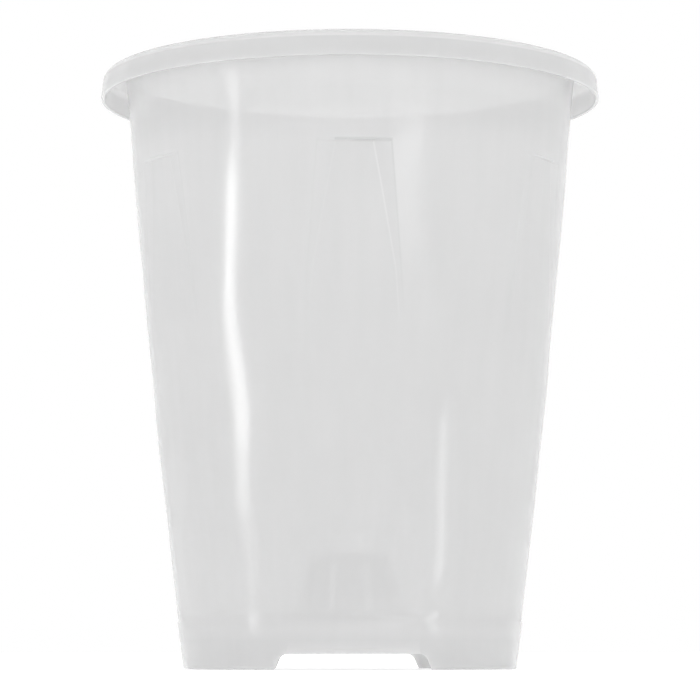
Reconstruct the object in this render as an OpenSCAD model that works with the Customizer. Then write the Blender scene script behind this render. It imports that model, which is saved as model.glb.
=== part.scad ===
// Clear orchid pot with a slotted cone in a slotted floor, one thin-walled moulding.
// It is drawn as the regions of that moulding, which meet face to face.
// Origin: middle of the underside, on the ground. +Z is up, and one drain notch faces -Y.

/* [Pot] */
// Height from the ground to the top of the rim
pot_h = 154.3; // [140:0.1:170]
// Outside diameter of the side wall right under the rim
neck_d = 117.2; // [112:0.2:120]
// Outside diameter of the side wall at floor level
base_d = 88.2; // [84:0.1:94]
// How far the side swells out of a straight taper, halfway up
swell = 0.7; // [0:0.1:1.5]
// Thickness of the side wall, the floor and the rim
wall_t = 0.9; // [0.7:0.1:1.2]

/* [Rim] */
// Diameter across the open lower edge of the rim
rim_d = 130; // [128:0.5:136]
// Depth of the turned-down skirt of the rim
skirt_h = 6.8; // [5:0.1:10]
// How far the skirt leans out on its way down
skirt_flare = 0.4; // [0:0.1:1]
// Radius that rounds the deck of the rim into the skirt
rim_round = 2.5; // [1.5:0.1:3]

/* [Stacking dents] */
// Number of dents round the wall
dent_count = 6; // [4:1:10]
// Height of the ledge at the top of a dent
dent_top_z = 128.2; // [120:0.2:135]
// Height at which a dent has run out into the wall
dent_end_z = 84.6; // [75:0.2:100]
// Depth of a dent at its ledge
dent_depth = 0.6; // [0.6:0.1:1.8]
// Angle from the middle of a dent to its side, at the ledge
dent_top_angle = 9.3; // [7:0.1:11]
// The same angle at the lower end
dent_end_angle = 13.7; // [12:0.1:15]
// Width of the sloping side of a dent at its ledge
dent_bevel = 4.5; // [3:0.1:5]

/* [Floor] */
// Height of the top of the floor
floor_z = 12.1; // [10:0.1:16]
// Number of radial drain slots
floor_slots = 16; // [8:1:20]
// Width of a drain slot
floor_slot_w = 2.4; // [1.5:0.1:3]
// Distance from the middle to the inner end of a drain slot
floor_slot_from = 20; // [18:0.5:24]
// Distance from the middle to the outer end of a drain slot
floor_slot_to = 40; // [32:0.5:41]

/* [Cone] */
// Height of the cone over the floor
cone_h = 17.5; // [12:0.5:40]
// Diameter of the cone at the floor
cone_base_d = 29; // [26:0.5:32]
// Diameter of the cone at its cap
cone_top_d = 20.6; // [18:0.2:24]
// Number of air slots round the cone
cone_slots = 8; // [4:1:8]
// Width of an air slot
cone_slot_w = 2.6; // [1.6:0.1:3.2]

/* [Base] */
// How far the base band stands proud of the side wall
band_step = 0.22; // [0:0.02:0.5]
// Outside diameter of the base on the ground
ground_d = 85.8; // [82:0.1:90]
// Thickness of the base band and the feet
foot_t = 1.6; // [1.4:0.1:2]
// Radius that rounds the outer edge of the feet
foot_round = 0.8; // [0.4:0.1:0.9]
// Height of a drain notch between the feet
notch_h = 3.9; // [3.4:0.1:5]
// Width of a drain notch at its top
notch_w = 35.4; // [30:0.2:44]
// How much each side of a drain notch leans out down to the ground
notch_lean = 1.6; // [0:0.1:3]
// Radius in the top corners of a drain notch
notch_round = 1.4; // [1:0.1:1.4]
// Turn of the notches and dents from the straight front
yaw = 1.1; // [0:0.1:5]

/* [Hidden] */

$fn = 96;
clear_plastic = [0.86, 0.87, 0.88, 0.45];

deck_z = pot_h - wall_t;
skirt_top_r = rim_d / 2 - skirt_flare;
deck_r = skirt_top_r - rim_round;
mouth_r = neck_d / 2 - wall_t;

// Stations up the side wall: below, along and above the dents
low_steps = 5;
dent_steps = 4;
high_steps = 2;
// The inner side of a dent also holds the thickness of its ledge
dent_roof_z = dent_top_z + wall_t;
low_zs = steps_between(floor_z, dent_end_z, low_steps);
dent_zs = steps_between(dent_end_z, dent_top_z, dent_steps);
high_zs = steps_between(dent_top_z, deck_z, high_steps);
wall_zs = concat(low_zs, dent_zs, high_zs, [deck_z]);
dent_pitch = 360 / dent_count;
// Share of the way along a dent's side that its window reaches past both surfaces
window_reach = 0.35;

// The feet end a little below the rounded corners of the notches
foot_h = notch_h - notch_round - 0.4;
band_top_r = base_d / 2 + band_step;
floor_under_z = floor_z - wall_t;
cone_top_z = floor_z + cone_h;
cap_z = cone_top_z - wall_t;
cone_wall_h = cap_z - floor_z;
// Ends of the air slots, from the floor and from the cap
air_slot_foot = 2;
air_slot_head = 1.6;
// A cutter reaches this far past what it cuts
past = 1;

function steps_between(a, b, n) = [for (i = [0 : n - 1]) a + (b - a) * i / n];

// Outer radius of the side wall at a height: a straight taper with a shallow parabolic swell
function height_share(z) = (z - floor_z) / (deck_z - floor_z);
function wall_r(z) = (base_d + (neck_d - base_d) * height_share(z)) / 2
    + 4 * swell * height_share(z) * (1 - height_share(z));

// Depth of a dent at a height: nothing at its lower end, dent_depth at its ledge
function dent_share(z) = (z - dent_end_z) / (dent_top_z - dent_end_z);
function dent_floor_r(z) = wall_r(z) - dent_depth * dent_share(z);

// Outer radius of the base at a height: a straight taper
function base_r(z) = ground_d / 2 + (band_top_r - ground_d / 2) * z / floor_z;

// Points of a quarter round, from one angle to the other
function quarter(cx, cy, r, from, to) = [for (i = [0 : 6])
    let (a = from + (to - from) * i / 6) [cx + r * cos(a), cy + r * sin(a)]];

// One side wall, with no dents in it
module wall_shell() {
    rotate_extrude()
        polygon(concat(
            [for (z = wall_zs) [wall_r(z), z]],
            [for (i = [len(wall_zs) - 1 : -1 : 0]) [wall_r(wall_zs[i]) - wall_t, wall_zs[i]]]));
}

// What a dent takes off the outside, all the way round
module dent_hollow() {
    zs = concat(dent_zs, [dent_top_z]);
    rotate_extrude()
        polygon(concat(
            [for (z = zs) [dent_floor_r(z), z]],
            [[wall_r(dent_top_z) + past, dent_top_z], [wall_r(dent_end_z) + past, dent_end_z]]));
}

// What a dent adds on the inside, all the way round: the same surface one thickness further in
module dent_backing() {
    zs = concat(dent_zs, [dent_top_z, dent_roof_z]);
    rotate_extrude()
        polygon(concat(
            [for (z = zs) [dent_floor_r(min(z, dent_top_z)) - wall_t, z]],
            [[wall_r(dent_roof_z) - wall_t / 2, dent_roof_z],
            [wall_r(dent_end_z) - wall_t / 2, dent_end_z]]));
}

// Window of one dent, facing +X: a wedge with sloping sides that widens downwards.
// inset moves it in by a thickness, and top_z is where it ends.
module dent_window(inset, top_z) {
    top_r = wall_r(dent_top_z);
    end_r = wall_r(dent_end_z);
    ledge_edge = [top_r * cos(dent_top_angle), top_r * sin(dent_top_angle)];
    end_edge = [end_r * cos(dent_end_angle), end_r * sin(dent_end_angle)];
    // Horizontal run of the sloping side, inwards and towards the middle
    run = [-dent_depth - dent_bevel * sin(dent_top_angle), -dent_bevel * cos(dent_top_angle)];
    in_share = 1 + window_reach;
    // The sides are drawn on in a straight line up to top_z
    rise = (top_z - dent_end_z) / (dent_top_z - dent_end_z);
    top_edge = end_edge + (ledge_edge - end_edge) * rise;
    levels = [[end_edge, dent_end_z], [top_edge, top_z]];
    points = [for (level = levels, side = [-1, 1], share = [in_share, -in_share])
        let (p = level[0] + run * share) [p[0] - inset, side * p[1], level[1]]];
    polyhedron(points, [[0, 1, 3, 2], [4, 6, 7, 5], [0, 4, 5, 1], [2, 3, 7, 6], [0, 2, 6, 4], [1, 5, 7, 3]]);
}

module at_dents() {
    for (i = [0 : dent_count - 1])
        rotate(yaw - 90 + i * dent_pitch)
            children();
}

module wall() {
    color(clear_plastic)
        difference() {
            union() {
                wall_shell();
                intersection() {
                    dent_backing();
                    at_dents()
                        dent_window(wall_t, dent_roof_z);
                }
            }
            intersection() {
                dent_hollow();
                at_dents()
                    dent_window(0, dent_top_z);
            }
        }
}

module rim_deck() {
    color(clear_plastic)
        translate([0, 0, deck_z])
            difference() {
                cylinder(h = wall_t, r = deck_r);
                translate([0, 0, -past])
                    cylinder(h = wall_t + 2 * past, r = mouth_r);
            }
}

module rim_skirt() {
    edge_z = pot_h - skirt_h;
    turn_z = pot_h - rim_round;
    color(clear_plastic)
        rotate_extrude()
            polygon(concat(
                [[rim_d / 2 - wall_t, edge_z], [rim_d / 2, edge_z]],
                quarter(deck_r, turn_z, rim_round, 0, 90),
                quarter(deck_r, turn_z, rim_round - wall_t, 90, 0)));
}

// Outline of a drain notch, seen from the front: leaning sides and rounded top corners
module notch_outline() {
    top_half = notch_w / 2;
    low_half = top_half + notch_lean * (1 + past / notch_h);
    polygon(concat(
        [[-low_half, -past], [low_half, -past]],
        quarter(top_half - notch_round, notch_h - notch_round, notch_round, 0, 90),
        quarter(notch_round - top_half, notch_h - notch_round, notch_round, 90, 180)));
}

module notches() {
    rotate(yaw)
        rotate([90, 0, 0])
            translate([0, 0, -rim_d / 2])
                linear_extrude(rim_d)
                    notch_outline();
}

module base_band() {
    color(clear_plastic)
        difference() {
            rotate_extrude()
                polygon([
                    [base_r(foot_h) - foot_t, foot_h],
                    [base_r(foot_h), foot_h],
                    [base_r(floor_z), floor_z],
                    [base_r(floor_z) - foot_t, floor_z]]);
            notches();
        }
}

// The ring that both feet are cut from, with its outer edge rounded
module foot_ring() {
    rotate_extrude()
        polygon(concat(
            [[base_r(foot_h) - foot_t, foot_h], [base_r(0) - foot_t, 0]],
            quarter(base_r(0) - foot_round, foot_round, foot_round, -90, 0),
            [[base_r(foot_h), foot_h]]));
}

// The foot on the -X side of the notches
module foot_left() {
    color(clear_plastic)
        difference() {
            foot_ring();
            notches();
            rotate(yaw)
                translate([0, -rim_d / 2, -past])
                    cube([rim_d, rim_d, foot_h + 2 * past]);
        }
}

// The other foot is the same one, half a turn round
module foot_right() {
    rotate(180)
        foot_left();
}

// A slot with round ends along +X, cut downwards through a plate
module slot_cutter(from, to, w, depth) {
    for (x = [from + w / 2, to - w / 2])
        translate([x, 0, 0])
            cylinder(h = depth, d = w);
    translate([from + w / 2, -w / 2, 0])
        cube([to - from - w, w, depth]);
}

module floor_plate() {
    color(clear_plastic)
        translate([0, 0, floor_under_z])
            difference() {
                cylinder(h = wall_t, r = base_r(floor_under_z) - foot_t);
                translate([0, 0, -past])
                    cylinder(h = wall_t + 2 * past, r = cone_base_d / 2 - wall_t);
                for (i = [0 : floor_slots - 1])
                    rotate(yaw + (i + 0.5) * 360 / floor_slots)
                        translate([0, 0, -past])
                            slot_cutter(floor_slot_from, floor_slot_to, floor_slot_w, wall_t + 2 * past);
            }
}

module aeration_cone() {
    slot_low = floor_z + air_slot_foot;
    slot_high = cap_z - air_slot_head;
    color(clear_plastic)
        difference() {
            translate([0, 0, floor_z])
                cylinder(h = cone_wall_h, d1 = cone_base_d, d2 = cone_top_d);
            translate([0, 0, floor_z])
                cylinder(h = cone_wall_h, d1 = cone_base_d - 2 * wall_t, d2 = cone_top_d - 2 * wall_t);
            for (i = [0 : cone_slots - 1])
                rotate(yaw - 90 + (i + 0.5) * 360 / cone_slots)
                    rotate([0, 90, 0])
                        translate([0, 0, wall_t])
                            mirror([1, 0, 0])
                                slot_cutter(slot_low, slot_high, cone_slot_w, cone_base_d / 2);
        }
}

module cone_cap() {
    color(clear_plastic)
        translate([0, 0, cap_z])
            cylinder(h = wall_t, d = cone_top_d);
}

rim_deck();
rim_skirt();
wall();
base_band();
foot_left();
foot_right();
floor_plate();
aeration_cone();
cone_cap();
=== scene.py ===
"""A clear orchid pot on its two feet, seen from near the ground. The pot is one thin moulding,
so its looks are two pieces: the shell, and the slotted floor with its cone."""
import math

import bpy
from mathutils import Matrix, Quaternion, Vector, noise


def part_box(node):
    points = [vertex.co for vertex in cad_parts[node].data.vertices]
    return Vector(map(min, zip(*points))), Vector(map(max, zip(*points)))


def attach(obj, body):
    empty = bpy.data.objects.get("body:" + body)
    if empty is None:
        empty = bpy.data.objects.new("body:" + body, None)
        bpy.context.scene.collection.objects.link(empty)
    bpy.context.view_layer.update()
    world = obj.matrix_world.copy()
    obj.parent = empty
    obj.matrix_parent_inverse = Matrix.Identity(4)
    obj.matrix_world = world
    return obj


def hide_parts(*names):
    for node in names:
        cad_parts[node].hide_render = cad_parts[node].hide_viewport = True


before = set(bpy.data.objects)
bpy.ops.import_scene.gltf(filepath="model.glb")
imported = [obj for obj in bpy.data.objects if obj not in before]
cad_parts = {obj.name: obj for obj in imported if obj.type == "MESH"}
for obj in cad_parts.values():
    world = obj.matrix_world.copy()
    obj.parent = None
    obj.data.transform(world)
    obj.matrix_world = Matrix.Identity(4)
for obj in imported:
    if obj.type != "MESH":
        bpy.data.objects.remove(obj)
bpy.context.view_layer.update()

FULL_TURN = 2 * math.pi

# Sizes that the frame gives, in metres
ground_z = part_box("foot_left")[0].z
rim_top_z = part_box("rim_skirt")[1].z
rim_edge_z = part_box("rim_skirt")[0].z
rim_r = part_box("rim_skirt")[1].x
deck_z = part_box("rim_deck")[0].z
deck_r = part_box("rim_deck")[1].x
wall_top_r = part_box("wall")[1].x
floor_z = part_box("floor_plate")[1].z
floor_under_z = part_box("floor_plate")[0].z
floor_edge_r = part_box("floor_plate")[1].x
band_top_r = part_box("base_band")[1].x
cone_foot_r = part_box("aeration_cone")[1].x
cone_top_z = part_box("cone_cap")[1].z
cone_head_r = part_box("cone_cap")[1].x
WALL = floor_z - floor_under_z

# Sizes that the boxes can't give, in metres, as in the part's source
WALL_FOOT_R = 0.0441
SWELL = 0.0007
SKIRT_FLARE = 0.0004
RIM_ROUND = 0.0025
GROUND_R = 0.0429
FOOT_T = 0.0016
FOOT_ROUND = 0.0008
NOTCH_H = 0.0039
NOTCH_HALF = 0.0177
NOTCH_LEAN = 0.0016
NOTCH_ROUND = 0.0014
YAW = math.radians(1.1)

# Stacking dents
DENTS = 6
DENT_TOP_Z = 0.1282
DENT_END_Z = 0.0846
DENT_DEPTH = 0.0006
DENT_TOP_ANGLE = math.radians(9.3)
DENT_END_ANGLE = math.radians(13.7)
DENT_BEVEL = 0.0045
# Height over which a ledge falls in, and angle over which a side's edge turns, so that both stay soft
LEDGE_DROP = 0.0004
EDGE_TURN = math.radians(0.35)

# Slots
FLOOR_SLOTS = 16
FLOOR_SLOT_W = 0.0024
FLOOR_SLOT_FROM = 0.020
FLOOR_SLOT_TO = 0.040
CONE_SLOTS = 8
CONE_SLOT_W = 0.0026
AIR_SLOT_FOOT = 0.002
AIR_SLOT_HEAD = 0.0016

# Small rounds
EDGE_SOFT = 0.00025
CAP_ROUND = 0.0005
FLOOR_FILLET = 0.0008
# Share of the fillet's radius that its start is set into the leaning cone, and its first angle
FILLET_SET_IN = 0.15
FILLET_START = 190

# Slow waviness of the thin wall: its depth, how close the waves stand round and up, and its start
WAVE = 0.0004
WAVE_ROUND = 3.2
WAVE_UP = 40
WAVE_START = Vector((8.8, 34.1, 50.8))
# How quickly the waves rise above the floor and fade below the rim
WAVE_RISE = 6
WAVE_FADE = 8

# Fineness of the meshes. The columns of faces round the pot are a whole number to each dent
COLUMNS = 288
DENT_COLUMNS = COLUMNS // DENTS
# Columns from a dent's middle that the two edges of its sloping side take
INNER_EDGE = 4
OUTER_EDGE = 8
# Heights over which the columns go back to even spacing, above and below the dents
DRAW_ABOVE = 0.012
DRAW_BELOW = 0.025
# Steps up the wall below, along and above the dents
LOW_STEPS = 24
DENT_STEPS = 20
HIGH_STEPS = 8
# Radii of the rings of edges in the floor, and steps up the cone
FLOOR_RINGS = (0.018, 0.030)
CONE_STEPS = 6
# Points of the circle that a slot's two round ends share
SLOT_POINTS = 24
# Points closer than this become one, and corners up to this angle are shaded smooth
MERGE_GAP = WALL / 500
SMOOTH_ANGLE = math.radians(38)

# Tones of the edge attribute, which are painted shade and painted light: 1 darkens the plastic's colour
# by the first value below, and less than 0 lightens it
PAINTED_TONE_STEP = 0.2
# Painted shade on each dent's ledge and outer edge, and a painted highlight on its inner edge
LEDGE_PAINTED_SHADE = 0.75
INNER_PAINTED_HIGHLIGHT = -0.6
OUTER_PAINTED_SHADE = 0.6
# Painted shade on the rim's round and the skirt's edge, and painted light in the cavity under the skirt
RIM_PAINTED_SHADE = 0.55
SKIRT_PAINTED_SHADE = 0.6
CAVITY_PAINTED_LIGHT = -0.6
# Painted shade on the wall just under the rim
UPPER_PAINTED_SHADE = 0.3
# Painted shade on the base band and on the feet where they meet the floor, and painted light at the
# wall's foot
BASE_PAINTED_SHADE = 0.4
FOOT_PAINTED_SHADE = 1
WALL_FOOT_PAINTED_LIGHT = -0.15
# Painted shade on the cap's edge and beside the cone's slots, and painted light on the cone between them
CAP_PAINTED_SHADE = 3.5
SLOT_PAINTED_SHADE = 2.5
CONE_PAINTED_LIGHT = -1.2
# Share of the base's height that has the base's painted shade
BASE_TONE_SHARE = 0.8
# The wall's colour has painted shade from this height up to the skirt, and the painted shade comes and
# goes over the rise
UPPER_FROM_Z = 0.130
UPPER_RISE = 0.008
# The painted shade and painted highlight show fainter on a dent's left edges, and on the dents whose
# middle isn't this near the front
LEFT_PAINTED_SHARE = 0.25
OTHER_DENTS_PAINTED_SHARE = 0.4
FRONT_REACH = math.radians(6)
# Height of the cap's edge with its underside, height over which its painted shade fades, and how far the
# painted shade beside a slot reaches
CAP_EDGE_H = 0.00096
CAP_TONE_H = 0.0012
SLOT_TONE_W = 0.0006

# The plastic: its tint, how rough it is, and how much rubbed spots and clouding add
PLASTIC_TINT = (0.77, 0.77, 0.773)
PLASTIC_IOR = 1.49
PLASTIC_ROUGHNESS = 0.13
PLASTIC_RUB = 0.08
PLASTIC_CLOUD = 0.02
# How much each piece hides of what is behind it. The floor is seen only through the shell
SHELL_ALPHA = 0.63
FLOOR_ALPHA = 0.28
# How far light spreads inside the thin wall, and the height and strength of the flow lines
LIGHT_SPREAD = 0.003
FLOW_HEIGHT = 0.00002
FLOW_BUMP = 0.3
# Flow lines run up the wall, so their pattern is stretched along Z
FLOW_STRETCH = (1, 1, 0.06)
# Scale and detail of each pattern
FLOW_NOISE = (260, 4)
CLOUD_NOISE = (32, 3)
RUB_NOISE = (900, 2)
# Range that the mixed patterns mostly stay in
NOISE_LOW = 0.3
NOISE_HIGH = 0.7

# Levels of light: 1 is white
WORLD_LIGHT = 0.742
FLOOR_GLOW = 0.47
# The light strips beside the pot, seen only as a gloss: azimuth, bottom, top, level, lean in degrees
STRIP_DISTANCE = 0.12
STRIP_WIDTH = 0.0105
STRIPS = [
    ("top strip", -47.5, 0.125, 0.161, 3.7, 0),
    ("upper strip", -51.8, 0.075, 0.125, 12, 14),
    ("middle strip", -55.0, 0.048, 0.075, 11, 8),
    ("low strip", -55.8, 0.024, 0.048, 6.8, 0),
    ("foot strip", -54.4, 0.002, 0.024, 2.4, 0),
    ("right strip", 45.5, 0.005, 0.055, 3.9, -14),
]


def clear_selection():
    """Leaves nothing selected, because a mesh operator acts on all that is."""
    if bpy.context.object and bpy.context.object.mode != "OBJECT":
        bpy.ops.object.mode_set(mode="OBJECT")
    bpy.ops.object.select_all(action="DESELECT")


def take(piece):
    """Makes one piece the selected and active one."""
    clear_selection()
    piece.select_set(True)
    bpy.context.view_layer.objects.active = piece


def clamp(share):
    return min(1, max(0, share))


def smooth_step(share):
    share = clamp(share)
    return share * share * (3 - 2 * share)


def quarter(cx, cz, r, start, end, steps=6):
    """Points of a round from one angle to another, in degrees, in the (r, z) plane."""
    turns = [math.radians(start + (end - start) * i / steps) for i in range(steps + 1)]
    return [(cx + r * math.cos(a), cz + r * math.sin(a)) for a in turns]


def spun(name, outline):
    """Draws a closed outline of (r, z) points by extruding a corner along it, and spins it."""
    clear_selection()
    bpy.ops.mesh.primitive_plane_add(size=WALL, location=(0, 0, 0))
    piece = bpy.context.object
    piece.name = name
    bpy.ops.object.mode_set(mode="EDIT")
    bpy.ops.mesh.merge(type="CENTER")
    bpy.ops.transform.translate(value=(outline[0][0], 0, outline[0][1]))
    for (r, z), (next_r, next_z) in zip(outline, outline[1:] + outline[:1]):
        step = (next_r - r, 0, next_z - z)
        bpy.ops.mesh.extrude_region_move(TRANSFORM_OT_translate={"value": step})
    bpy.ops.mesh.select_all(action="SELECT")
    bpy.ops.mesh.spin(steps=COLUMNS, angle=FULL_TURN, center=(0, 0, 0), axis=(0, 0, 1))
    bpy.ops.mesh.select_all(action="SELECT")
    bpy.ops.mesh.remove_doubles(threshold=MERGE_GAP)
    bpy.ops.mesh.normals_make_consistent(inside=False)
    bpy.ops.object.mode_set(mode="OBJECT")
    return piece


def wall_share(z):
    """Share of the side wall's height, from the floor to the rim's deck."""
    return (z - floor_z) / (deck_z - floor_z)


def wall_r(z):
    """Outer radius of the side wall at a height: a taper with a shallow swell."""
    share = wall_share(z)
    return WALL_FOOT_R + (wall_top_r - WALL_FOOT_R) * share + 4 * SWELL * share * (1 - share)


def base_r(z):
    """Outer radius of the base at a height."""
    return GROUND_R + (band_top_r - GROUND_R) * z / floor_z


def cone_r(z):
    """Outer radius of the cone at a height."""
    return cone_head_r + (cone_foot_r - cone_head_r) * (cone_top_z - z) / (cone_top_z - floor_z)


def wall_heights(ledge_z):
    """Stations up one side of the wall, closer where the dents begin and end."""
    low = [floor_z + (DENT_END_Z - floor_z) * i / LOW_STEPS for i in range(1, LOW_STEPS)]
    dented = [DENT_END_Z + (ledge_z - DENT_END_Z) * i / DENT_STEPS for i in range(DENT_STEPS)]
    # In half steps of the ledge's drop
    ledge = [ledge_z + LEDGE_DROP * i / 2 for i in (-2, 0, 1, 2, 4)]
    high = [ledge[-1] + (deck_z - ledge[-1]) * i / HIGH_STEPS for i in range(1, HIGH_STEPS)]
    return low + dented + ledge + high


def shell_outline():
    """Half section of the rim, the side wall and the base, from the mouth outwards and down."""
    turn_z = rim_top_z - RIM_ROUND
    mouth_r = wall_r(deck_z) - WALL
    lip_z = rim_edge_z + EDGE_SOFT
    lip_top_z = rim_edge_z + 3 * EDGE_SOFT
    corner = 2 * EDGE_SOFT
    band_middle_z = floor_z * 0.6
    outline = quarter(mouth_r + EDGE_SOFT, rim_top_z - EDGE_SOFT, EDGE_SOFT, 180, 90, steps=3)
    outline += quarter(deck_r, turn_z, RIM_ROUND, 90, 0, steps=10)
    outline += [(rim_r - SKIRT_FLARE / 2, (turn_z + rim_edge_z) / 2)]
    outline += [(rim_r, lip_top_z)]
    outline += quarter(rim_r - EDGE_SOFT, lip_z, EDGE_SOFT, 0, -90, steps=3)
    outline += quarter(rim_r - WALL + EDGE_SOFT, lip_z, EDGE_SOFT, -90, -180, steps=3)
    outline += [(rim_r - WALL, lip_top_z)]
    outline += quarter(deck_r, turn_z, RIM_ROUND - WALL, 0, 90, steps=8)
    outline += quarter(wall_r(deck_z) + corner, deck_z - corner, corner, 90, 180, steps=4)
    outline += [(wall_r(z), z) for z in reversed(wall_heights(DENT_TOP_Z))]
    outline += [(wall_r(floor_z), floor_z + EDGE_SOFT)]
    outline += [(base_r(floor_z), floor_z - EDGE_SOFT)]
    outline += [(base_r(z), z) for z in (band_middle_z, NOTCH_H)]
    outline += quarter(base_r(0) - FOOT_ROUND, FOOT_ROUND, FOOT_ROUND, 0, -90)
    outline += [(base_r(0) - FOOT_T, 0)]
    outline += [(base_r(z) - FOOT_T, z) for z in (NOTCH_H, floor_under_z, floor_z)]
    outline += [(wall_r(floor_z) - WALL, floor_z + EDGE_SOFT)]
    outline += [(wall_r(z) - WALL, z) for z in wall_heights(DENT_TOP_Z + WALL)]
    return outline


def dent_share(z):
    """0 where the dents run out, and 1 at their ledge."""
    return clamp((z - DENT_END_Z) / (DENT_TOP_Z - DENT_END_Z))


def dent_edges(z):
    """Angles from a dent's middle to the two edges of its sloping side, at a height."""
    share = dent_share(z)
    outer = DENT_END_ANGLE + (DENT_TOP_ANGLE - DENT_END_ANGLE) * share
    slope = max(DENT_BEVEL / wall_r(z) * share, 4 * EDGE_TURN)
    return outer - slope, outer


def drawn_column(column, z):
    """Angle of a column from its dent's middle. Near a dent the columns follow its edges."""
    half = DENT_COLUMNS // 2
    even = column / half * math.pi / DENTS
    inner, outer = dent_edges(z)
    stops = [(0, 0), (half, math.pi / DENTS)]
    for edge, edge_angle in ((INNER_EDGE, inner), (OUTER_EDGE, outer)):
        stops += [(edge + step, edge_angle + step * EDGE_TURN) for step in (-1, 0, 1)]
    stops.sort()
    for (low, low_angle), (high, high_angle) in zip(stops, stops[1:]):
        if low <= column <= high:
            drawn = low_angle + (high_angle - low_angle) * (column - low) / (high - low)
    above = smooth_step(1 - (z - DENT_TOP_Z - 2 * WALL) / DRAW_ABOVE)
    below = smooth_step(1 - (DENT_END_Z - z) / DRAW_BELOW)
    return even + (drawn - even) * min(above, below)


def dent_depth(angle, z, ledge_z):
    """How far a dent moves the wall in, at an angle from its middle and a height."""
    inner, outer = dent_edges(z)
    across = clamp((outer - angle) / (outer - inner))
    fall = clamp((ledge_z + LEDGE_DROP - z) / LEDGE_DROP)
    return DENT_DEPTH * across * dent_share(z) * fall


def wave(turn, z):
    """Slow waviness of the wall, as thin moulded walls have, fading out at the floor and the rim."""
    place = Vector((math.cos(turn) * WAVE_ROUND, math.sin(turn) * WAVE_ROUND, z * WAVE_UP))
    share = wall_share(z)
    fade = smooth_step(share * WAVE_RISE) * smooth_step((1 - share) * WAVE_FADE)
    return WAVE * noise.noise(place + WAVE_START) * fade


def wall_painted_tone(column, middle, z, ledge_z):
    """Painted tone of the side wall: painted shade on the ledge and outer edge of each dent, a painted
    highlight on its inner edge, and painted shade on a stretch under the rim."""
    left = column < -INNER_EDGE or column < 0 and z < ledge_z
    faces_front = abs(middle + FULL_TURN / 4) < FRONT_REACH
    share = (LEFT_PAINTED_SHARE if left else 1) * (1 if faces_front else OTHER_DENTS_PAINTED_SHARE)
    slack = LEDGE_DROP / 4
    if abs(column) <= OUTER_EDGE and ledge_z - slack < z < ledge_z + LEDGE_DROP + slack:
        return LEDGE_PAINTED_SHADE * share
    if z > ledge_z:
        rise = smooth_step((z - UPPER_FROM_Z) / UPPER_RISE)
        return UPPER_PAINTED_SHADE * rise * smooth_step((rim_edge_z - z) / UPPER_RISE)
    if z > DENT_END_Z and abs(column) == INNER_EDGE:
        return INNER_PAINTED_HIGHLIGHT * math.sqrt(dent_share(z)) * share
    if z > DENT_END_Z and abs(column) == OUTER_EDGE:
        return OUTER_PAINTED_SHADE * dent_share(z) * share
    return 0


def rim_and_base_painted_tone(r, z):
    """Painted tone of the rim and the base, by place: painted shade on the skirt's edge, the rim's round,
    the feet and the base band, and painted light in the skirt's cavity and at the wall's foot.
    """
    if r > rim_r - 1.5 * WALL and z < rim_edge_z + 2 * EDGE_SOFT:
        return SKIRT_PAINTED_SHADE
    if r > rim_r - WALL / 2:
        return RIM_PAINTED_SHADE
    if r > wall_top_r + EDGE_SOFT and z < deck_z + EDGE_SOFT:
        return CAVITY_PAINTED_LIGHT
    if z < FOOT_ROUND / 2:
        return FOOT_PAINTED_SHADE
    if z < floor_z * BASE_TONE_SHARE:
        return BASE_PAINTED_SHADE
    if z < floor_z + 1.5 * EDGE_SOFT:
        return WALL_FOOT_PAINTED_LIGHT
    return 0


def shape_wall(piece):
    """Presses the stacking dents into the spun wall, on both of its sides, and notes its painted shade
    and painted light.
    """
    # The edge attribute takes painted shade and painted light, which the plastic's colour reads
    edge = piece.data.attributes.new("edge", "FLOAT", "POINT")
    for vertex, tone in zip(piece.data.vertices, edge.data):
        x, y, z = vertex.co
        r = math.hypot(x, y)
        if not floor_z + EDGE_SOFT < z < deck_z - 2 * EDGE_SOFT or r > wall_r(z) + WALL / 2:
            tone.value = rim_and_base_painted_tone(r, z)
            continue
        ledge_z = DENT_TOP_Z if r > wall_r(z) - WALL / 2 else DENT_TOP_Z + WALL
        # Counted from the front, where the first dent is
        column = (round(math.atan2(y, x) / FULL_TURN * COLUMNS) + COLUMNS // 4) % DENT_COLUMNS
        from_dent = column if column <= DENT_COLUMNS // 2 else column - DENT_COLUMNS
        middle = math.atan2(y, x) - from_dent / COLUMNS * FULL_TURN
        angle = drawn_column(abs(from_dent), z)
        tone.value = wall_painted_tone(from_dent, middle, z, ledge_z)
        turn = middle + math.copysign(angle, from_dent) + YAW
        r += wave(turn, z) - dent_depth(angle, z, ledge_z)
        vertex.co = (r * math.cos(turn), r * math.sin(turn), z)


def slot_cutter(name, length, width, reach):
    """A bar with round ends: a disc whose far half is moved along Y, extruded along Z."""
    clear_selection()
    bpy.ops.mesh.primitive_circle_add(
        vertices=SLOT_POINTS, radius=width / 2, fill_type="NGON", rotation=(0, 0, 0))
    cutter = bpy.context.object
    cutter.name = name
    half_step = math.pi / SLOT_POINTS
    bpy.ops.object.mode_set(mode="EDIT")
    bpy.ops.mesh.select_all(action="SELECT")
    bpy.ops.transform.rotate(value=half_step, orient_axis="Z", center_override=(0, 0, 0))
    bpy.ops.mesh.select_all(action="DESELECT")
    bpy.ops.object.mode_set(mode="OBJECT")
    for vertex in cutter.data.vertices:
        vertex.select = vertex.co.y > 0
    bpy.ops.object.mode_set(mode="EDIT")
    bpy.ops.transform.translate(value=(0, length - width, 0))
    bpy.ops.mesh.select_all(action="SELECT")
    bpy.ops.mesh.extrude_region_move(TRANSFORM_OT_translate={"value": (0, 0, reach)})
    bpy.ops.mesh.select_all(action="SELECT")
    bpy.ops.mesh.normals_make_consistent(inside=False)
    bpy.ops.object.mode_set(mode="OBJECT")
    return cutter


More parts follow.
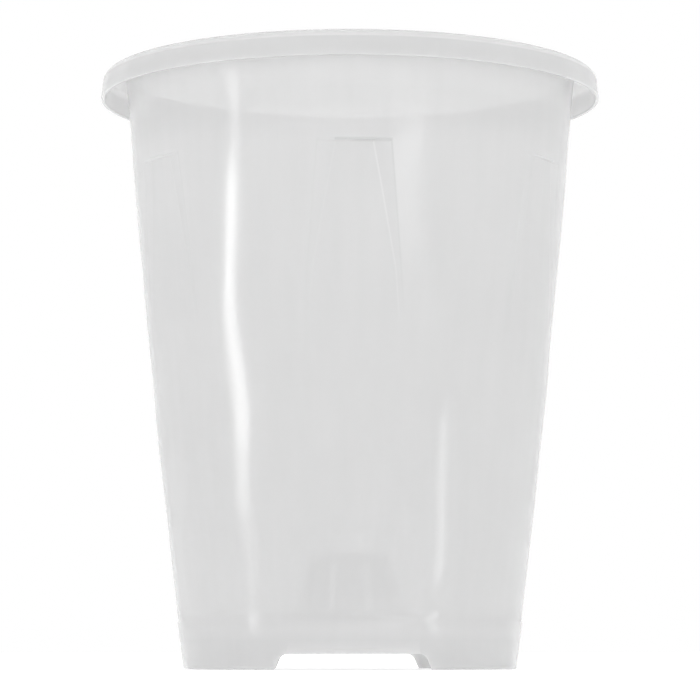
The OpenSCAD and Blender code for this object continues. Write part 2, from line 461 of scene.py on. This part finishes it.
def ring_of(cutter, count, start):
    """Copies a cutter round the axis and joins the copies into one."""
    copies = []
    for i in range(count):
        copy = cutter.copy()
        copy.data = cutter.data.copy()
        copy.data.transform(Matrix.Rotation(start + i * FULL_TURN / count, 4, "Z"))
        bpy.context.scene.collection.objects.link(copy)
        copies.append(copy)
    bpy.data.objects.remove(cutter)
    clear_selection()
    for copy in copies:
        copy.select_set(True)
    bpy.context.view_layer.objects.active = copies[0]
    bpy.ops.object.join()
    return bpy.context.object


def cut(piece, cutter):
    """Takes the cutter's volume off the piece, and the cutter out of the scene."""
    take(piece)
    difference = piece.modifiers.new("cut", "BOOLEAN")
    difference.operation = "DIFFERENCE"
    difference.solver = "EXACT"
    difference.object = cutter
    bpy.ops.object.modifier_apply(modifier=difference.name)
    bpy.data.objects.remove(cutter)


def notch_cutter():
    """The bar that leaves both drain notches: a slab with leaning sides and rounded top edges."""
    clear_selection()
    bpy.ops.mesh.primitive_cube_add(size=1, location=(0, 0, NOTCH_H / 2 - WALL))
    cutter = bpy.context.object
    cutter.scale = (2 * NOTCH_HALF, 2 * rim_r, NOTCH_H + 2 * WALL)
    bpy.ops.object.transform_apply(location=True, rotation=False, scale=True)
    lean = 1 + NOTCH_LEAN / NOTCH_HALF * (1 + 2 * WALL / NOTCH_H)
    bpy.ops.object.mode_set(mode="EDIT")
    bpy.ops.mesh.select_all(action="DESELECT")
    bpy.ops.object.mode_set(mode="OBJECT")
    for vertex in cutter.data.vertices:
        vertex.select = vertex.co.z < 0
    bpy.ops.object.mode_set(mode="EDIT")
    bpy.ops.transform.resize(value=(lean, 1, 1))
    bpy.ops.mesh.select_all(action="DESELECT")
    bpy.ops.object.mode_set(mode="OBJECT")
    for edge in cutter.data.edges:
        ends = [cutter.data.vertices[i].co for i in edge.vertices]
        edge.select = min(end.z for end in ends) > 0 and abs(ends[0].x - ends[1].x) < WALL
    bpy.ops.object.mode_set(mode="EDIT")
    bpy.ops.mesh.select_mode(type="EDGE")
    bpy.ops.mesh.bevel(offset=NOTCH_ROUND, segments=6)
    bpy.ops.mesh.select_mode(type="VERT")
    bpy.ops.mesh.select_all(action="SELECT")
    bpy.ops.object.mode_set(mode="OBJECT")
    cutter.data.transform(Matrix.Rotation(YAW, 4, "Z"))
    return cutter


def shade(piece):
    """Smooth faces with crisp corners."""
    take(piece)
    bpy.ops.object.shade_smooth_by_angle(angle=SMOOTH_ANGLE)


def make_shell():
    """The rim, the side wall with its dents, the base band and the feet, as one thin shell."""
    piece = spun("pot_shell", shell_outline())
    shape_wall(piece)
    cut(piece, notch_cutter())
    shade(piece)
    return piece


def floor_outline():
    """Half section of the floor and its cone, from the pole of the cap outwards and back."""
    cap_under_z = cone_top_z - WALL
    cap_round_r = cone_head_r - CAP_ROUND
    lean = math.degrees(math.atan2(cap_under_z - floor_z, cone_foot_r - cone_head_r))
    fillet_r = cone_foot_r + FLOOR_FILLET * (1 - FILLET_SET_IN)
    fillet_z = floor_z + FLOOR_FILLET
    side_top_z = cone_top_z - CAP_TONE_H
    side_h = side_top_z - floor_z - FLOOR_FILLET
    rings = [side_top_z - side_h * i / CONE_STEPS for i in range(CONE_STEPS)]
    outline = [(0, cone_top_z), (cone_head_r - 3 * CAP_ROUND, cone_top_z)]
    outline += quarter(cap_round_r, cone_top_z - CAP_ROUND, CAP_ROUND, 90, 90 - lean, steps=4)
    outline += [(cone_r(z), z) for z in rings]
    outline += [(cone_foot_r - FLOOR_FILLET * FILLET_SET_IN, fillet_z)]
    outline += quarter(fillet_r, fillet_z, FLOOR_FILLET, FILLET_START, 270, steps=5)
    outline += [(r, floor_z) for r in (*FLOOR_RINGS, floor_edge_r)]
    outline += [(r, floor_under_z) for r in (floor_edge_r, *reversed(FLOOR_RINGS), cone_foot_r - WALL)]
    outline += [(cone_head_r - WALL, cap_under_z), (0, cap_under_z)]
    return outline


def note_cone_painted_tones(piece):
    """Notes painted shade on the cap's edge and beside the slots in the cone, and painted light on the
    cone between them.
    """
    pitch = FULL_TURN / CONE_SLOTS
    # The edge attribute takes painted shade and painted light, which the plastic's colour reads
    edge = piece.data.attributes.new("edge", "FLOAT", "POINT")
    for vertex, tone in zip(piece.data.vertices, edge.data):
        x, y, z = vertex.co
        r = math.hypot(x, y)
        on_side = floor_z + AIR_SLOT_FOOT / 2 < z < cone_top_z - CAP_TONE_H / 2
        if z > cone_top_z - CAP_EDGE_H and r > cone_head_r - 2 * CAP_ROUND:
            tone.value = CAP_PAINTED_SHADE
        elif on_side and r > cone_r(z) - 2 * WALL:
            from_slot = (math.atan2(y, x) - YAW - math.pi / 2) % pitch - pitch / 2
            beside_slot = r * abs(from_slot) < CONE_SLOT_W / 2 + SLOT_TONE_W
            tone.value = SLOT_PAINTED_SHADE if beside_slot else CONE_PAINTED_LIGHT


def make_floor():
    """The slotted floor with the slotted cone that rises from its middle."""
    piece = spun("slotted_floor", floor_outline())
    drain_low_z = floor_z - 2.5 * WALL
    drain_reach = 4 * WALL
    drain = slot_cutter("drain_cutter", FLOOR_SLOT_TO - FLOOR_SLOT_FROM, FLOOR_SLOT_W, drain_reach)
    drain.data.transform(Matrix.Translation((0, FLOOR_SLOT_FROM + FLOOR_SLOT_W / 2, drain_low_z)))
    cut(piece, ring_of(drain, FLOOR_SLOTS, YAW + math.pi / FLOOR_SLOTS))
    low_z = floor_z + AIR_SLOT_FOOT
    high_z = cone_top_z - WALL - AIR_SLOT_HEAD
    air = slot_cutter("air_cutter", high_z - low_z, CONE_SLOT_W, cone_foot_r)
    air.data.transform(Matrix.Rotation(math.radians(90), 4, "X"))
    air.data.transform(Matrix.Translation((0, -WALL, low_z + CONE_SLOT_W / 2)))
    cut(piece, ring_of(air, CONE_SLOTS, YAW + math.pi / CONE_SLOTS))
    note_cone_painted_tones(piece)
    shade(piece)
    return piece


def add_math(tree, operation, *inputs):
    """A Math node's output. Each input is a number, or an output that is linked to it."""
    node = tree.nodes.new("ShaderNodeMath")
    node.operation = operation
    for socket, given in zip(node.inputs, inputs):
        if isinstance(given, bpy.types.NodeSocket):
            tree.links.new(given, socket)
        else:
            socket.default_value = given
    return node.outputs["Value"]


def add_noise(tree, place, pattern):
    """The output of a noise with the scale and detail of a pattern, at a place."""
    node = tree.nodes.new("ShaderNodeTexNoise")
    scale, detail = pattern
    node.inputs["Scale"].default_value = scale
    node.inputs["Detail"].default_value = detail
    tree.links.new(place, node.inputs["Vector"])
    return node.outputs["Fac"]


def moulded_group():
    """Shared marks of a thin clear moulding: faint clouding, flow lines and rubbed spots."""
    group = bpy.data.node_groups.new("moulded marks", "ShaderNodeTree")
    for name in ("Base Roughness", "Rub", "Cloud"):
        group.interface.new_socket(name=name, in_out="INPUT", socket_type="NodeSocketFloat")
    for name in ("Shade", "Roughness", "Height"):
        group.interface.new_socket(name=name, in_out="OUTPUT", socket_type="NodeSocketFloat")
    given = group.nodes.new("NodeGroupInput").outputs
    result = group.nodes.new("NodeGroupOutput").inputs
    place = group.nodes.new("ShaderNodeTexCoord").outputs["Object"]
    stretch = group.nodes.new("ShaderNodeMapping")
    stretch.inputs["Scale"].default_value = FLOW_STRETCH
    group.links.new(place, stretch.inputs["Vector"])
    flow = add_noise(group, stretch.outputs["Vector"], FLOW_NOISE)
    cloud = add_noise(group, place, CLOUD_NOISE)
    rub = add_noise(group, place, RUB_NOISE)
    # Shade is 1 with a swing of Cloud either way
    mixed = add_math(group, "MULTIPLY_ADD", flow, 0.5, add_math(group, "MULTIPLY", cloud, 0.5))
    swing = group.nodes.new("ShaderNodeMapRange")
    swing.inputs["From Min"].default_value = NOISE_LOW
    swing.inputs["From Max"].default_value = NOISE_HIGH
    group.links.new(mixed, swing.inputs["Value"])
    group.links.new(add_math(group, "SUBTRACT", 1, given["Cloud"]), swing.inputs["To Min"])
    group.links.new(add_math(group, "ADD", 1, given["Cloud"]), swing.inputs["To Max"])
    group.links.new(swing.outputs["Result"], result["Shade"])
    rough = add_math(group, "MULTIPLY_ADD", rub, given["Rub"], given["Base Roughness"])
    group.links.new(rough, result["Roughness"])
    group.links.new(flow, result["Height"])
    return group


def clear_material(name, marks, alpha):
    """Clear, faintly milky plastic: straight see-through with a soft gloss, and with painted shade and
    painted light from the edge attribute.
    """
    material = bpy.data.materials.new(name)
    material.use_nodes = True
    tree = material.node_tree
    shader = tree.nodes["Principled BSDF"].inputs
    group = tree.nodes.new("ShaderNodeGroup")
    group.node_tree = marks
    group.inputs["Base Roughness"].default_value = PLASTIC_ROUGHNESS
    group.inputs["Rub"].default_value = PLASTIC_RUB
    group.inputs["Cloud"].default_value = PLASTIC_CLOUD
    # Painted shade and painted light: the edge attribute darkens the plastic's colour on the dents'
    # ledges and outer edges, the rim, the skirt's edge, under the rim, the base, the feet, the cap's edge
    # and beside the slots, and lightens it on the dents' inner edges, in the skirt's cavity, at the
    # wall's foot and on the cone
    edge = tree.nodes.new("ShaderNodeAttribute")
    edge.attribute_name = "edge"
    painted_shade_and_light = add_math(tree, "MULTIPLY_ADD", edge.outputs["Fac"], -PAINTED_TONE_STEP, 1)
    colour = tree.nodes.new("ShaderNodeVectorMath")
    colour.operation = "SCALE"
    colour.inputs[0].default_value = PLASTIC_TINT
    shaded = add_math(tree, "MULTIPLY", group.outputs["Shade"], painted_shade_and_light)
    tree.links.new(shaded, colour.inputs["Scale"])
    tree.links.new(colour.outputs["Vector"], shader["Base Color"])
    tree.links.new(group.outputs["Roughness"], shader["Roughness"])
    bumps = tree.nodes.new("ShaderNodeBump")
    bumps.inputs["Strength"].default_value = FLOW_BUMP
    bumps.inputs["Distance"].default_value = FLOW_HEIGHT
    tree.links.new(group.outputs["Height"], bumps.inputs["Height"])
    tree.links.new(bumps.outputs["Normal"], shader["Normal"])
    shader["Alpha"].default_value = alpha
    shader["IOR"].default_value = PLASTIC_IOR
    # Light spreads inside the thin wall and comes out on its other side
    shader["Subsurface Weight"].default_value = 1
    shader["Subsurface Radius"].default_value = (1, 1, 1)
    shader["Subsurface Scale"].default_value = LIGHT_SPREAD
    return material


def make_world():
    """White all round to the eye, in a gloss or through the plastic, and a plain level of soft light."""
    world = bpy.data.worlds.new("studio")
    world.use_nodes = True
    bpy.context.scene.world = world
    tree = world.node_tree
    background = tree.nodes["Background"].inputs
    background["Color"].default_value = (1, 1, 1, 1)
    path = tree.nodes.new("ShaderNodeLightPath").outputs
    direct = add_math(tree, "MAXIMUM", path["Is Camera Ray"], path["Is Glossy Ray"])
    seen = add_math(tree, "MAXIMUM", direct, path["Is Transmission Ray"])
    level = tree.nodes.new("ShaderNodeMapRange")
    level.inputs["To Min"].default_value = WORLD_LIGHT
    level.inputs["To Max"].default_value = 1
    tree.links.new(seen, level.inputs["Value"])
    tree.links.new(level.outputs["Result"], background["Strength"])


def make_ground():
    """Plain white floor that keeps a part of the object's shadow."""
    clear_selection()
    bpy.ops.mesh.primitive_plane_add(size=12, location=(0, 0, ground_z))
    ground = bpy.context.object
    ground.name = "studio_floor"
    material = bpy.data.materials.new("studio floor")
    material.use_nodes = True
    shader = material.node_tree.nodes["Principled BSDF"].inputs
    shader["Base Color"].default_value = (0.95, 0.95, 0.95, 1)
    shader["Roughness"].default_value = 0.9
    shader["Specular IOR Level"].default_value = 0
    shader["Emission Color"].default_value = (1, 1, 1, 1)
    shader["Emission Strength"].default_value = FLOOR_GLOW
    ground.data.materials.append(material)


def make_lamp(name, azimuth, distance, height, size, level, lean=0, aim_z=None, use="gloss"):
    """A soft rectangular lamp that faces the pot, as bright as its level, where 1 is white. Azimuth 0
    is at the camera, and it grows to the right. The lamp leans to the right by the given degrees. It
    is used either for the gloss or for the diffuse light."""
    data = bpy.data.lights.new(name, "AREA")
    data.shape = "RECTANGLE"
    data.size, data.size_y = size
    data.energy = math.pi * size[0] * size[1] * level
    lamp = bpy.data.objects.new(name, data)
    turn = math.radians(azimuth)
    lamp.location = (distance * math.sin(turn), -distance * math.cos(turn), height)
    aim = Vector((0, 0, height if aim_z is None else aim_z)) - lamp.location
    tilt = Quaternion((0, 0, 1), -math.radians(lean))
    lamp.rotation_euler = (aim.to_track_quat("-Z", "Y") @ tilt).to_euler()
    lamp.visible_camera = False
    lamp.visible_diffuse = use == "diffuse"
    lamp.visible_glossy = use == "gloss"
    bpy.context.scene.collection.objects.link(lamp)


def make_lamps():
    """A wide key lamp, the strips that leave the long streaks, and a panel for the patch on the right."""
    make_lamp("key", azimuth=-4, distance=1.3, height=0.3, size=(0.9, 0.6), level=0.99,
              aim_z=rim_top_z / 2, use="diffuse")
    for name, azimuth, low, high, level, lean in STRIPS:
        make_lamp(name, azimuth, STRIP_DISTANCE, (low + high) / 2, (STRIP_WIDTH, high - low), level, lean)
    make_lamp("right panel", azimuth=28.4, distance=0.5, height=0.113, size=(0.13, 0.036), level=4.4)


def make_camera():
    """Near the ground and looking slightly up, as in the photograph."""
    distance = 0.778
    height = 0.0046
    pitch = math.radians(5.72)
    lens_px = 3008
    frame_px = 700
    data = bpy.data.cameras.new("camera")
    data.sensor_width = 36
    data.lens = data.sensor_width * lens_px / frame_px
    data.clip_start = 0.01
    data.clip_end = 20
    camera = bpy.data.objects.new("camera", data)
    camera.location = (0, -distance, height)
    camera.rotation_euler = (math.radians(90) + pitch, 0, 0)
    bpy.context.scene.collection.objects.link(camera)
    bpy.context.scene.camera = camera


make_camera()
make_world()
make_ground()
make_lamps()

marks = moulded_group()
clear_plastic = clear_material("clear plastic", marks, SHELL_ALPHA)
floor_plastic = clear_material("clear plastic of the floor", marks, FLOOR_ALPHA)
shell = make_shell()
slotted_floor = make_floor()
for piece, material in ((shell, clear_plastic), (slotted_floor, floor_plastic)):
    piece.data.materials.clear()
    piece.data.materials.append(material)
    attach(piece, "root")
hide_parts("rim_deck", "rim_skirt", "wall", "base_band", "foot_left", "foot_right")
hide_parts("floor_plate", "aeration_cone", "cone_cap")

bpy.context.scene.view_settings.view_transform = "Standard"
